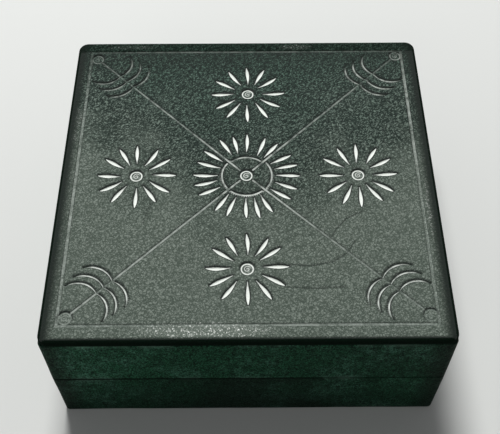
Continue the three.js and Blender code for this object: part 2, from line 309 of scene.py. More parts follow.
topLook = {
    "crease": (0.003, 0.011, 0.007, 1),
    "polished": (0.052, 0.070, 0.055, 1),  # creases towards the front, paled by handling and by painted sheen
    "dyed": (0.082, 0.160, 0.118, 1),  # pebbles towards the back, where the dye is whole
    "handledAndSheen": (0.158, 0.192, 0.159, 1),  # and towards the front, paled by handling and lightened further as painted sheen
    # worn pebble tops, and also the colour of the painted highlights along the edges
    "worn": (0.24, 0.28, 0.24, 1),
    "paintedShade": (0.0025, 0.007, 0.004, 1),  # painted shade: on the turned edge and beside the marks
    "rawHide": (0.90, 0.93, 0.88, 1),  # where a gouge has cut through the dye
    "rawDeep": (0.66, 0.70, 0.65, 1),
    "pressed": (0.15, 0.18, 0.155, 1),  # where a hot tool has been run
    # the grain, in pebbles, pits and so on to a metre
    "pebble": 520,
    "wrinkle": 400,  # longer creases, and their width as a share of the noise
    "wrinkleWidth": 0.10,
    "pits": 470,
    "pitDepth": (1.0, 0.55),  # how dark they are where the dye is whole, and where it is handled
    "swell": 430,  # broader unevenness of the grain, and its height beside the pebbles
    "swellHeight": 1.2,
    "cloud": 22,
    "fleck": 800,
    "fibre": 2600,
    "bump": 0.0006,
    "proud": (1.6, 0.6),  # share of it that stands up: most where it was never pressed flat by hands
    "inMark": (-0.1, 0.25, 0.10, 1.0),  # and hardly any of it inside a mark
    # where the hide is handled, and where sheen is painted in as paler colour: to the front and the sides,
    # with a cloudy border between
    "sheenAndWearFrom": (0.130, -0.070),
    "sheenAndWearLean": 0.03,
    "sheenAndWearSides": (0.03, 0.12, 0.0, -0.050),
    "sheenAndWearMost": (0.65, 1.0),
    "cloudReach": 0.13,
    "wornBroad": (0.45, 0.7),
    "wornCloud": (0.40, 0.66, 0.0, 0.5),
    "roughness": (0.98, 0.50),  # in the creases, and on the tops
    "roughCloud": (0.3, 0.7, -0.04, 0.06),
    "backRough": 0.30,  # rougher at the back, and at the turned edge
    "turnRough": 0.45,
    "frontTurn": (0.0026, 0.0042),  # painted shade, in from the front: where the turned edge is darkest, and where that ends
    "sideTurn": (0.0035, 0.0110),  # and in from the sides
    "backTurn": (0.0040, 0.0420),  # and from the back
    "backKept": 0.45,  # share of the colour that the painted shade leaves at the back
    # painted highlights: patches along the edges where the hide shines, with pale flecks: middle, reach and
    # how much
    "glints": (
        (-0.026, -0.1168, 0.046, 0.0060, 0.85),
        (-0.1185, 0.050, 0.0035, 0.010, 0.6),
        (-0.1190, 0.034, 0.0025, 0.006, 0.5),
        (0.036, 0.1185, 0.014, 0.0030, 0.45),
        (0.1180, -0.028, 0.0025, 0.026, 0.5),
        (-0.085, 0.1190, 0.020, 0.0022, 0.35),
    ),
    "glintPaler": 0.30,
}


def addPaintedGlints(colour, look, coords, crest, across, along):
    # painted highlights: pale patches and flecks along the edges, where the hide shines
    patches = 0.0
    for placeX, placeY, wide, deep, share in look["glints"]:
        offX = addMath("DIVIDE", addMath("SUBTRACT", across, placeX), wide)
        offY = addMath("DIVIDE", addMath("SUBTRACT", along, placeY), deep)
        away = addMath("MULTIPLY_ADD", offX, offX, times(offY, offY))
        patches = addMath("MAXIMUM", patches, addRange(away, 1.0, 0.4, 0.0, share))
    colour = addMix(times(patches, look["glintPaler"]), colour, look["worn"])
    specks = addRange(addNoise(coords, look["fleck"], 2), 0.42, 0.54)
    flecks = times(addRange(crest, 0.30, 0.8), specks)
    return addMix(times(flecks, patches), colour, look["rawHide"])


def addMarkColours(colour, look, coords, broad, edge):
    # marks of the tools, from the distances that the mesh carries, with painted shadow beside them
    pale, dark = attributeOf(coords, "markPale"), attributeOf(coords, "markShadow")
    # painted shadow: a dark ring round each pale mark, and the shadow that the mesh carries
    rim = addRange(addMath("ABSOLUTE", addMath("SUBTRACT", edge, 0.15)), 0.60, 0.25)
    rim = times(rim, addRange(pale, 0.1, 0.6, 0.1, 0.95))
    colour = addMix(addMath("MAXIMUM", dark, rim), colour, look["paintedShade"])
    fibres = addNoise(coords, look["fibre"], 2)
    raw = addMix(addRange(fibres, 0.25, 0.75), look["rawDeep"], look["rawHide"])
    marked = addMix(addRange(pale, 0.1, 0.85), look["pressed"], raw)
    lip = addRange(pale, 0.5, 0.9, 0.0, 0.16)  # a cut's dyed rim is thicker than a stamped line's
    depth = addMath("ADD", edge, lip)
    inside = times(addRange(depth, 0.05, -0.20), addRange(pale, 0.0, 0.3))
    rubbedIn = addRange(broad, 0.36, 0.56, 0.25, 1.0)  # the colour of a faint line is patchy
    patchy = addMath("MAXIMUM", rubbedIn, addRange(pale, 0.4, 0.8))
    return addMix(times(inside, patchy), colour, marked)


def topLeatherMaterial(name, look, specular):
    material, shader = newMaterial(name)
    coords = objectCoords(shader)
    grain, crest, broad = leatherGrain(coords, look)
    cloudy = addNoise(coords, look["cloud"], 4)
    across, along = (axisOf(coords, axis) for axis in "XY")
    outward = addMath("ABSOLUTE", across)
    towards = addMath("MULTIPLY_ADD", across, look["sheenAndWearLean"], along)
    towards = addMath("ADD", towards, addRange(outward, *look["sheenAndWearSides"]))
    towards = addMath("MULTIPLY_ADD", addMath("SUBTRACT", cloudy, 0.5), look["cloudReach"], towards)
    # handled and painted sheen: the tops paler to the front and the sides, in place of the shine of the light
    # from behind
    handledAndSheen = addRange(towards, *look["sheenAndWearFrom"], smooth=True)
    tops = addMix(handledAndSheen, look["dyed"], look["handledAndSheen"])
    pitDepth = addRange(handledAndSheen, *look["sheenAndWearMost"], *look["pitDepth"])
    pits = times(leatherPits(coords, look), pitDepth)
    standing = times(crest, addMath("SUBTRACT", 1.0, pits))
    creases = addMix(addRange(handledAndSheen, *look["sheenAndWearMost"]), look["crease"], look["polished"])
    colour = addMix(addRange(standing, 0.02, 0.42), creases, tops)
    # worn, paler pebble tops where the hide is handled: wear, and partly painted sheen
    wornAndLit = times(times(wornPatches(look, broad, cloudy), crest), handledAndSheen)
    colour = addMix(wornAndLit, colour, look["worn"])
    colour = addPaintedGlints(colour, look, coords, crest, across, along)
    edge = attributeOf(coords, "markEdge")  # how far it is to a mark
    colour = addMarkColours(colour, look, coords, broad, edge)
    # painted shade: the turned edge darkened where it turns from the light, and the back darker where it has
    # less sheen
    frontIn = addMath("ADD", along, reachY)
    sideIn = addMath("SUBTRACT", reachX, outward)
    backIn = addMath("SUBTRACT", reachY, along)
    shade = addMath("MINIMUM", addRange(frontIn, *look["frontTurn"]),
                    addRange(sideIn, *look["sideTurn"], smooth=True))
    far = addRange(backIn, *look["backTurn"], smooth=True)
    kept = times(shade, addRange(far, 0.0, 1.0, look["backKept"], 1.0))
    colour = addMix(kept, look["paintedShade"], colour)
    rough = addRange(standing, 0.02, 0.5, *look["roughness"])
    rough = addMath("ADD", rough, addRange(cloudy, *look["roughCloud"]))
    rough = addMath("ADD", rough, addRange(far, 0.0, 1.0, look["backRough"], 0.0))
    rough = addMath("ADD", rough, addRange(shade, 0.0, 1.0, look["turnRough"], 0.0), clamp=True)
    swell = times(addNoise(coords, look["swell"], 2, 0.6), look["swellHeight"])
    relief = addMath("ADD", grain, swell)
    relief = times(relief, addRange(handledAndSheen, 0.0, 1.0, *look["proud"]))
    relief = times(relief, addRange(edge, *look["inMark"]))
    feed(shader, {"Base Color": colour, "Roughness": rough, "Specular IOR Level": specular,
                  "Normal": addBump(relief, look["bump"])})
    return material


sideLook = {
    "crease": (0.0003, 0.003, 0.0012, 1),
    "crest": (0.027, 0.148, 0.074, 1),
    "worn": (0.120, 0.320, 0.220, 1),
    "fold": (0.13, 0.24, 0.18, 1),
    "pebble": 580,
    "pits": 400,
    "pitDepth": 0.42,
    "wrinkle": 230,
    "wrinkleWidth": 0.03,
    "cloud": 30,
    "wornCloud": (0.42, 0.60),
    "wornBroad": (0.40, 0.60),
    "foldCloud": (0.49, 0.62),
    "foldWidth": 1.6,  # mm of paler hide beside a fold: wear, and painted highlight
    "roughness": (0.85, 0.55),  # in the creases, and on the tops
    "specular": 0.07,
    "bump": 0.00045,
    "seamShade": (0.0005, 0.0014),  # painted shade from the seam: where its dark edge is darkest, and where that ends
    "seamPaler": (-0.10, 0.06, 0.0, 0.7),  # and how it fades to the right
    "footShade": 0.35,  # painted shade: the base darker than the lid, and darkest at its foot
    "baseShade": 0.64,
    "baseMiddle": (0.02, 0.085, 0.24, 1.0),  # and painted shade in the middle
    "lidShade": (-0.11, 0.10, 1.0, 0.52),  # the lid gets darker to the right
    "cloudReach": 0.15,
    "cornerShade": (0.1215, 0.1040),  # painted shade: where an upright corner is darkest, and where that ends
    "cornerKept": 0.25,
    "lapAt": (0.062, 0.0625),  # where the hide's two ends lap, on the back
    "lapBehind": (0.10, 0.11),
    "lapRise": 0.0006,
}


def sideLeatherMaterial(look):
    material, shader = newMaterial("sideHide")
    coords = objectCoords(shader)
    grain, crest, broad = leatherGrain(coords, look)
    cloudy = addNoise(coords, look["cloud"], 5, 0.6)
    colour = addMix(addRange(crest, 0.02, 0.80), look["crease"], look["crest"])
    colour = addMix(times(wornPatches(look, broad, cloudy), crest), colour, look["worn"])
    pits = times(leatherPits(coords, look), look["pitDepth"])
    colour = addMix(pits, colour, look["crease"])
    # paler folds: wear, and painted highlight on the edges
    wornAndLit = times(attributeOf(coords, "foldWearAndHighlight"), addRange(cloudy, *look["foldCloud"]))
    colour = addMix(wornAndLit, colour, look["fold"])
    across, along, up = (axisOf(coords, axis) for axis in "XYZ")
    # painted shade at the upright corners, beside the seam, low on the base and in its middle; and the lid
    # darker towards the right
    cornerness = addMath("MINIMUM", addMath("ABSOLUTE", across), addMath("ABSOLUTE", along))
    shade = addRange(cornerness, *look["cornerShade"], look["cornerKept"], 1.0, smooth=True)
    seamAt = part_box("base_wall_leather")[1].z
    fromSeam = addMath("ABSOLUTE", addMath("SUBTRACT", up, seamAt))
    low = addRange(up, 0.0, seamAt * 0.8, look["footShade"], look["baseShade"], smooth=True)
    drift = addMath("MULTIPLY_ADD", addMath("SUBTRACT", cloudy, 0.5), look["cloudReach"], across)
    high = addRange(drift, *look["lidShade"])
    low = times(low, addRange(addMath("ABSOLUTE", drift), *look["baseMiddle"]))
    onLid = addMath("GREATER_THAN", up, seamAt)
    onBase = addMath("SUBTRACT", 1.0, onLid)
    low = addMath("ADD", times(high, onLid), times(low, onBase))
    seam = addMath("MAXIMUM", addRange(fromSeam, *look["seamShade"]), addRange(drift, *look["seamPaler"]))
    shade = times(times(shade, low), seam)
    colour = addMix(shade, look["crease"], colour)
    lap = times(addRange(across, *look["lapAt"]), addRange(along, *look["lapBehind"]))
    grained = addBump(grain, look["bump"])
    feed(shader, {"Base Color": colour, "Specular IOR Level": look["specular"],
                  "Roughness": addRange(crest, 0.0, 1.0, *look["roughness"]),
                  "Normal": addBump(lap, look["lapRise"], Normal=grained)})
    return material


suedeLook = {
    "low": (0.008, 0.022, 0.016, 1),  # the hollows of the nap, and its tips
    "high": (0.028, 0.058, 0.043, 1),
    "patch": (0.05, 0.085, 0.066, 1),  # where it was brushed the other way
    "fine": (900, 4, 0.65),  # scale to a metre, detail and roughness
    "patches": (35, 3),
    "patchy": (0.45, 0.75, 0.0, 0.45),
    "stretch": (1, 1, 1),
    "bump": (0.0002, 0.7),
    "shader": {"Roughness": 0.95, "Sheen Weight": 0.4, "Specular IOR Level": 0.2},
}
cardLook = {
    "low": (0.27, 0.23, 0.17, 1),
    "high": (0.44, 0.39, 0.30, 1),
    "patch": (0.20, 0.17, 0.13, 1),  # its plies, which show at the edges
    "fine": (700, 5, 0.7),
    "patches": (90, 3),
    "patchy": (0.4, 0.7, 0.0, 0.35),
    "stretch": (1, 1, 6),
    "bump": (0.0001, 0.6),
    "shader": {"Roughness": 0.9},
}


def fibreMaterial(name, look):
    material, shader = newMaterial(name)
    coords = objectCoords(shader)
    stretched = addNode(coords, "ShaderNodeMapping", None, {"Vector": coords, "Scale": look["stretch"]})
    fine = addNoise(coords, *look["fine"])
    patches = addNoise(stretched.outputs[0], *look["patches"])
    colour = addMix(addRange(fine, 0.3, 0.7), look["low"], look["high"])
    colour = addMix(addRange(patches, *look["patchy"]), colour, look["patch"])
    normal = addBump(fine, *look["bump"])
    feed(shader, {"Base Color": colour, "Normal": normal, **look["shader"]})
    return material


tooledHide = topLeatherMaterial("tooledHide", topLook, 0.43)
turnedHide = topLeatherMaterial("turnedHide", topLook, 0.04)  # the lip: a copy with little shine, so that it renders dark, as painted shade
backHide = topLeatherMaterial("backHide", topLook, 0.15)  # the top beyond the border at the back: a copy with less shine, so that it renders darker, as painted shade
sideHide = sideLeatherMaterial(sideLook)
suedeCloth = fibreMaterial("suedeCloth", suedeLook)
pressedCard = fibreMaterial("pressedCard", cardLook)
print("materials made")


# tool marks on the lid, seen from above, in millimetres from the middle of the lid
strokes = {  # half the width of each, and its depth
    "line": (0.68, 0.32),
    "ring": (0.58, 0.3),
    "spiral": (0.40, 0.3),
    "arc": (0.62, 0.75),
    "circle": (0.66, 0.6),
    "cut": (1.38, 1.0),
    "fold": (0.3, 0.22),
    "field": (4.5, 0.6),
}
tools = {
    "borderX": (-114.1, 113.7),
    "borderY": (-113.4, 114.0),
    "borderLean": 0.15,
    # front, right, back and left of the border: how much wider than a line, and how pale along its way
    "borderSides": (
        (1.3, (0.16, 0.15, 0.22, 0.18)),
        (1.5, (0.14, 0.14, 0.26, 0.22)),
        (1.2, (0.12, 0.20, 0.22, 0.12)),
        (1.5, (0.13, 0.18, 0.22, 0.17)),
    ),
    "diagonalWider": 1.05,
    "diagonalLean": 0.3,
    "diagonalStop": 6.2,  # from the middle
    "stampAt": (109.4, 108.2),  # spiral stamp in each corner
    "stampRadius": 4.3,
    "spiral": (2.35, 0.25),  # radius at its outer and its inner end
    "fanRadius": (13.6, 14.4, 15.2),  # of the corner fans' three pairs of arcs
    "fanSide": (4.3, 5.4, 6.5),  # from the diagonal to the middle of an arc
    "fanEnd": (78, 70, 62),  # degrees from the diagonal to an arc's far end
    "tooth": 1.15,  # length of the small teeth along a curved stroke
    "toothPitch": 1.35,
    "middle": (-0.7, -1.3),
    "circleQuarters": ((17.0, 0.42), (15.4, 0.40), (16.3, 0.55), (16.5, 0.65)),  # radius, and how pale
    "circleSweep": 38,  # degrees each side of an arc's middle
    "cutLength": 15.4,
    "cutWidestAt": 0.38,  # share of its length, from the outer tip
    "cutEnds": (0.32, 0.24),  # share of its width at the outer tip and at the tail
    "cutTaper": 1.5,
    "rosettePale": 0.95,  # of the stamps in the rosettes
    "middleTip": 35.0,  # tips of the middle rosette's cuts
    "middleFan": 16.2,  # degrees between the five cuts of one quarter
    "middleLeans": ((-2, -3, -1, -2, -3), (-6, -6, -1, -1, -2), (-4, -3, -1, -3, -5), (-3, -5, 0, -2, -3)),
    "outerTip": 25.8,
}
fans = (  # corner, its stamp's shift along Y, how pale its stamp, fan and diagonal are, and the fan's cusps
    (-1, 1, -1.1, 0.22, 0.28, 0.20, (25.2, 32.3, 39.6)),
    (1, 1, 0.9, 0.32, 0.42, 0.16, (24.4, 32.4, 39.0)),
    (1, -1, 0.7, 0.12, 0.60, 0.16, (24.4, 31.2, 37.6)),
    (-1, -1, 0.0, 0.20, 0.66, 0.27, (24.2, 29.9, 36.7)),
)
rosettes = (  # middle, and how far each cut leans off its even place, in degrees
    ((-74.0, -1.4), (2, -1, -4, -1, -2, -5, 1, 3, -1, 1, 3, -1)),
    ((0.5, 71.8), (2, 2, 1, 1, 1, -4, 0, 2, 2, 2, 7, 3)),
    ((73.7, -1.4), (0, -1, -2, 1, 5, 4, 1, 4, -2, 2, 1, -2)),
    ((-0.4, -74.2), (1, 0, -4, -1, -2, -6, 1, 4, 2, 3, 6, -1)),
)
folds = (  # where the hide itself is creased, with painted shade on a crease's far side
    ((74, -32), (64, -37), (57, -45), (53, -53)),
    ((26, -72), (39, -73), (53, -70), (62, -64), (68, -55)),
    ((24, -88), (41, -89), (59, -88)),
    ((-63, -25), (-65, -32), (-67, -40)),
)


def polar(centre, radius, degrees):
    angle = math.radians(degrees)
    return (centre[0] + radius * math.cos(angle), centre[1] + radius * math.sin(angle))


def between(start, end, share):
    return (start[0] + (end[0] - start[0]) * share, start[1] + (end[1] - start[1]) * share)


def addMark(marks, kind, points, pale, wider=1.0, strength=1.0, comb=0, lean=1.0):
    # pale and wider are one value, or one for each point; lean is how strong the painted shadow on the far
    # side is, which also deepens the teeth there
    half, depth = strokes[kind]
    line = np.array(points, float)
    even = np.zeros(len(line))
    marks.append({"kind": kind, "line": line, "half": even + half * np.array(wider, float),
                  "depth": depth * strength, "pale": even + pale, "comb": comb, "lean": lean})


def addCut(marks, centre, tip, degrees, hand):
    # one push of the gouge from the tip inwards: quickly wide, then a long thin tail
    length = tools["cutLength"] * hand.uniform(0.95, 1.04)
    lean = hand.uniform(-2.5, 2.5)
    bow = hand.uniform(-0.45, 0.45)
    outer = polar(centre, tip, degrees)
    along = math.radians(degrees + 180 + lean)
    widest = tools["cutWidestAt"]
    points, widths, pales = [], [], []
    for k in range(15):
        t = k / 14
        side = bow * 4 * t * (1 - t)
        points.append((outer[0] + length * t * math.cos(along) - side * math.sin(along),
                       outer[1] + length * t * math.sin(along) + side * math.cos(along)))
        if t < widest:
            least, belly = tools["cutEnds"][0], math.sin(math.pi / 2 * t / widest)
        else:
            least = tools["cutEnds"][1]
            belly = math.cos(math.pi / 2 * (t - widest) / (1 - widest)) ** tools["cutTaper"]
        widths.append((least + (1 - least) * belly) * hand.uniform(0.97, 1.03))
        pales.append(1.0 - 0.5 * max(0, t - 0.6) / 0.4)
    addMark(marks, "cut", points, pales, widths)


def addStamp(marks, centre, pale, strength=1.0):
    # the spiral stamp: a round field, its rim ring, and a spiral
    addMark(marks, "field", [centre, centre], 0.13 * pale, strength=strength)
    ring = [polar(centre, tools["stampRadius"] - 0.6, 12 * k) for k in range(31)]
    addMark(marks, "ring", ring, pale, strength=strength, lean=0)
    outer, inner = tools["spiral"]
    spiral = [polar(centre, outer - (outer - inner) * k / 40, 40 + 12.5 * k) for k in range(41)]
    addMark(marks, "spiral", spiral, pale, strength=strength, lean=0)


def addFan(marks, signX, signY, cusps, pale):
    # three pairs of arcs that meet in cusps on the diagonal, at these distances from the stamp
    stampX, stampY = tools["stampAt"]
    half = math.sqrt(0.5)
    arcs = zip(cusps, tools["fanRadius"], tools["fanSide"], tools["fanEnd"])
    for cusp, radius, aside, end in arcs:
        meet = math.asin(aside / radius)
        for side in (1, -1):
            points = []
            for k in range(19):
                angle = -meet + (math.radians(end) + meet) * k / 18
                u = cusp + radius * (math.cos(angle) - math.cos(meet))
                v = side * (aside + radius * math.sin(angle))
                points.append((signX * (stampX - half * (u - v)), signY * (stampY - half * (u + v))))
            widths = [min(1, 0.4 + 0.10 * k, 0.25 + 0.16 * (18 - k)) for k in range(19)]
            fade = [pale * min(1, 0.7 + 0.05 * k, 0.1 + 0.16 * (18 - k)) for k in range(19)]
            addMark(marks, "arc", points, fade, widths, comb=signX * signY * side)


def addBorder(marks):
    left, right = tools["borderX"]
    near, far = tools["borderY"]
    ends = [(left, near), (right, near), (right, far), (left, far), (left, near)]
    for start, end, (wider, pales) in zip(ends, ends[1:], tools["borderSides"]):
        points = [between(start, end, k / 3) for k in range(4)]
        addMark(marks, "line", points, pales, wider, lean=tools["borderLean"])


def addDiagonal(marks, signX, signY, stamp, pale):
    start = polar(stamp, tools["stampRadius"], math.degrees(math.atan2(-signY, -signX)))
    end = polar(tools["middle"], tools["diagonalStop"], math.degrees(math.atan2(signY, signX)))
    shares = (0, 0.13, 0.16, 0.24, 0.27, 0.7, 1)  # of its way in: past the cusps it is fainter
    pales = [pale * p for p in (1, 1, 0.5, 0.5, 1.1)] + [max(0.25, pale), 0.42]
    points = [between(start, end, t) for t in shares]
    addMark(marks, "line", points, pales, tools["diagonalWider"], lean=tools["diagonalLean"])


def layOutMarks():
    hand = random.Random(11)
    marks = []
    addBorder(marks)
    stampX, stampY = tools["stampAt"]
    middle = tools["middle"]
    for signX, signY, shift, stampPale, fanPale, linePale, cusps in fans:
        stamp = (signX * stampX, signY * stampY + shift)
        addDiagonal(marks, signX, signY, stamp, linePale)
        addStamp(marks, stamp, stampPale, 0.4 if stampPale < 0.2 else 0.8)
        addFan(marks, signX, signY, cusps, fanPale)
    sweep = tools["circleSweep"]
    for quarter, (radius, pale) in enumerate(tools["circleQuarters"]):
        points = [polar(middle, radius, 90 * quarter - sweep + 2 * sweep * k / 16) for k in range(17)]
        addMark(marks, "circle", points, pale, comb=1)
    addStamp(marks, middle, tools["rosettePale"])
    for quarter, leans in enumerate(tools["middleLeans"]):
        for k, lean in enumerate(leans):
            degrees = 90 * quarter + tools["middleFan"] * (k - 2) + lean
            addCut(marks, middle, tools["middleTip"] + hand.uniform(-0.9, 0.6), degrees, hand)
    for points in folds:
        addMark(marks, "fold", points, 0.0)
    for centre, leans in rosettes:
        for k, lean in enumerate(leans):
            addCut(marks, centre, tools["outerTip"] + hand.uniform(-0.5, 0.6), 90 + 30 * k + lean, hand)
        addStamp(marks, centre, tools["rosettePale"])
    return marks


def nearestOnLine(points, line, half, paleness):
    # for each point: distance to the line, half width and paleness there, share of the way along it,
    # on which side, and how far behind it as seen from the front; and at last the length of the line
    best = np.zeros((6, len(points)))
    best[0] = 1e9
    run = 0.0
    for a, b, wa, wb, pa, pb in zip(line, line[1:], half, half[1:], paleness, paleness[1:]):
        step = b - a
        length = max(np.hypot(*step), 1e-9)
        t = np.clip(((points - a) @ step) / length ** 2, 0, 1)
        off = points - a - t[:, None] * step
        distance = np.hypot(off[:, 0], off[:, 1])
        found = (distance, wa + (wb - wa) * t, pa + (pb - pa) * t, run + t * length,
                 step[0] * off[:, 1] - step[1] * off[:, 0], off[:, 1] / np.maximum(distance, 1e-9))
        best = np.where(found[0] - found[1] < best[0] - best[1], found, best)
        run += length
    best[3] /= max(run, 1e-9)
    best[4] = np.sign(best[4])
    return *best, run


# how the hide takes the tools, and the painted shadow beside their marks, in millimetres and shares
pressing = {
    "farSide": (0.35, 0.95),  # painted shadow on the far side of a mark: its strength level with the mark, and how much it grows behind it
    "shadow": (1.7, 0.35, 0.55),  # strength, middle outside the edge, and width
    # painted shadow round a stamp's field
    "fieldShadow": (1.4, 0.3, 0.4),
    "fieldShade": 0.5,
    "strokeEnd": (0.35, 0.85),  # painted shadow past the end of an arc or a cut: how far beyond the end, and its reach
    "fieldWall": 0.45,
    "fieldShallow": -0.08,
    "cutFloor": 3.5,
    "cutDrawn": (0.34, 0.75),  # how far the hide is drawn down beside a cut, and its reach
    "strokeSteep": 1.1,
    "strokeDrawn": (0.45, 1.5),
    # painted shade on a crease's far side, and its width; and how far the crease's dip reaches
    "foldShade": (0.75, 0.7),
    "foldReach": 1.3,
    # teeth: depth, painted shade in their notches, how much the far side's shadow deepens them, and paleness
    "toothDepth": 0.25,
    "toothShade": 0.9,
    "toothFarSide": 0.75,
    "toothPale": 0.7,
}


def shadowOf(mark, places, signed, farSide):
    # painted shadow beside a mark, strongest on its far side
    strength, middle, width = pressing["shadow"]
    shadow = farSide * np.clip(strength - np.abs(signed - middle) / width, 0, 1)
    if mark["kind"] in ("arc", "cut"):
        beyond, reach = pressing["strokeEnd"]
        last = np.hypot(*(places - mark["line"][-1] - (0, beyond)).T)
        shadow = np.maximum(shadow, np.exp(-(last / reach) ** 2))
    if mark["kind"] == "field":
        strength, middle, width = pressing["fieldShadow"]
        around = np.clip(strength - np.abs(signed - middle) / width, 0, 1)
        shadow = np.maximum(shadow, pressing["fieldShade"] * around)
    return shadow


def dipOf(mark, distance, half, signed):
    # depth of a mark across its width, with the hide drawn down a little beside it
    if mark["kind"] == "field":
        return -mark["depth"] * np.clip(-signed / pressing["fieldWall"] + 0.5, 0, 1)
    if mark["kind"] == "cut":
        drawn, reach = pressing["cutDrawn"]
        share = np.clip(distance / np.maximum(half, 1e-6), 0, 1)
        dip = -mark["depth"] * half / strokes["cut"][0] * (1 - share ** pressing["cutFloor"])
        return dip - drawn * np.exp(-np.maximum(signed, 0) / reach) * np.clip(half / 0.7, 0.3, 1)
    drawn, reach = pressing["strokeDrawn"]
    dip = -mark["depth"] * np.exp(-pressing["strokeSteep"] * (distance / np.maximum(half, 1e-6)) ** 2)
    return dip - drawn * mark["depth"] * np.exp(-(distance / reach) ** 2)


def markField(points, marks, reach=2.2):
    # for each point: signed distance to the nearest edge of a mark, its paleness, the painted shadow
    # beside it, and the height
    edge = np.full(len(points), reach)
    pale, dark, height, field = np.zeros((4, len(points)))
    for mark in marks:
        pad = mark["half"].max() + reach
        low, high = mark["line"].min(0) - pad, mark["line"].max(0) + pad
        near = np.nonzero(((points > low) & (points < high)).all(1))[0]
        if not len(near):
            continue
        distance, half, paleness, along, side, behind, run = nearestOnLine(
            points[near], mark["line"], mark["half"], mark["pale"])
        signed = distance - half
        level, grows = pressing["farSide"]
        farSide = np.clip(level + grows * behind, 0, 1) * mark["lean"]
        if mark["kind"] == "fold":
            shade, width = pressing["foldShade"]
            dark[near] = np.maximum(dark[near], shade * farSide * np.exp(-(signed / width) ** 2))
            height[near] -= mark["depth"] * np.exp(-(distance / pressing["foldReach"]) ** 2)
            edge[near] = np.minimum(edge[near], np.maximum(signed, width))
            continue
        dark[near] = np.maximum(dark[near], shadowOf(mark, points[near], signed, farSide))
        dip = dipOf(mark, distance, half, signed)
        if mark["comb"]:
            # a row of short teeth along the outer side of the stroke, with painted shade in the notches
            outside = (signed > -0.1) & (signed < tools["tooth"]) & (side * mark["comb"] < 0)
            ridge = 0.5 + 0.5 * np.cos(2 * np.pi * along * round(run / tools["toothPitch"]))
            ridge *= 1 - pressing["toothFarSide"] * farSide
            dip -= pressing["toothDepth"] * outside * (1 - ridge)
            shade = pressing["toothShade"]
            notch = np.maximum(dark[near], shade * (1 - ridge)) * (1 - shade * ridge)
            dark[near] = np.where(outside, notch, dark[near])
            tooth = np.maximum(0.28 - 0.5 * ridge, (signed - tools["tooth"]) * 0.5)
            closer = outside & (tooth < edge[near])
            edge[near] = np.where(closer, tooth, edge[near])
            pale[near] = np.where(closer, paleness * pressing["toothPale"], pale[near])
        if mark["kind"] == "field":
            field[near] = np.minimum(field[near], dip)
            signed = np.maximum(signed, pressing["fieldShallow"])
        else:
            height[near] = np.where(np.abs(dip) > np.abs(height[near]), dip, height[near])
        closer = signed < edge[near]
        edge[near] = np.where(closer, signed, edge[near])
        pale[near] = np.where(closer, paleness, pale[near])
    return edge, pale, dark, height + field


topHide = {
    "edgeRadius": 3.6 * mm,
    "lip": 4.4 * mm,  # how far the hide turns down
    "lipRound": 0.6 * mm,
    "thickness": 2.4 * mm,
    "cell": 5.0 * mm,  # of the coarse net, which is halved four times where a tool has been
    "refineReach": (1.1, 0.92, 0.64, 0.41),  # how far round a mark each time, in cells
    "toothReach": 0.8,  # mm that the finest net reaches further for teeth
    "waves": 30,  # to a metre, and their height
    "waviness": 0.10 * mm,
    "wavesSink": 0.6,
    "turned": 0.62,  # share of the round edge that gets the duller copy of the material, as painted shade
    "duller": 114.8 * mm,  # beyond this, past the border at the back, the hide has less of a shine, which renders it darker as painted shade
}


def refineNet(bm, marks):
    # halves the cells of the net again and again, each time nearer to the marks
    cell = topHide["cell"] / mm
    last = len(topHide["refineReach"]) - 1
    for level, share in enumerate(topHide["refineReach"]):
        quads = [f for f in bm.faces if len(f.verts) == 4]
        centres = np.array([f.calc_center_median()[:2] for f in quads]) / mm
        reach = cell * share
        if level == last:  # the finest net is for teeth too, but not for plain lines
            marks = [dict(m, half=m["half"] + topHide["toothReach"] * abs(m["comb"]))
                     for m in marks if m["kind"] != "line"]
        edge = markField(centres, marks, reach + 0.01)[0]
        wanted = {e for f, d in zip(quads, edge) if d < reach for e in f.edges}
        bmesh.ops.subdivide_edges(bm, edges=list(wanted), cuts=1, use_grid_fill=True)
        cell /= 2
    odd = [f for f in bm.faces if len(f.verts) > 4]
    bmesh.ops.triangulate(bm, faces=odd)


def makeTopNet(marks):
    # the flat of the top with rounded corners, finer round the marks; its rim is divided for the turned edge
    bm = bmesh.new()
    inset = topHide["edgeRadius"]
    count = round(2 * (reachX - inset) / topHide["cell"])
    bmesh.ops.create_grid(bm, x_segments=count, y_segments=count, size=1)
    bmesh.ops.scale(bm, vec=(reachX - inset, reachY - inset, 1), verts=bm.verts)
    bmesh.ops.translate(bm, vec=(0, 0, boxTop), verts=bm.verts)
    corners = [v for v in bm.verts if len(v.link_edges) == 2]
    roundCorners(bm, corners, cornerAt(inset, boxShape["plumbRadius"])[0])
    refineNet(bm, marks)
    rim = [e for e in bm.edges if len(e.link_faces) == 1]
    longer = [e for e in rim if e.calc_length() > topHide["cell"] * 0.8]
    bmesh.ops.subdivide_edges(bm, edges=longer, cuts=1)
    return bm


def turnDownEdge(bm):
    # from the rim of the flat round the edge, down the lip and back under the hide
    plumb, inset, thick = boxShape["plumbRadius"], topHide["edgeRadius"], topHide["thickness"]
    low, tight, inner = boxTop - topHide["lip"], topHide["lipRound"], inset - thick
    section = bend(inset, boxTop - inset, inset, 90, 180, 8)[1:]
    section += bend(tight, low + tight, tight, 180, 270, 4)
    section += [(thick, low)]
    section += bend(thick + inner, boxTop - thick - inner, inner, 180, 90, 3)
    ring = [e for e in bm.edges if len(e.link_faces) == 1]
    was = cornerAt(inset, plumb)
    for inset, height in section:
        ring, was = extrudeRing(bm, ring, was, inset, height, plumb)
    bmesh.ops.edgeloop_fill(bm, edges=ring)
    bmesh.ops.recalc_face_normals(bm, faces=bm.faces[:])


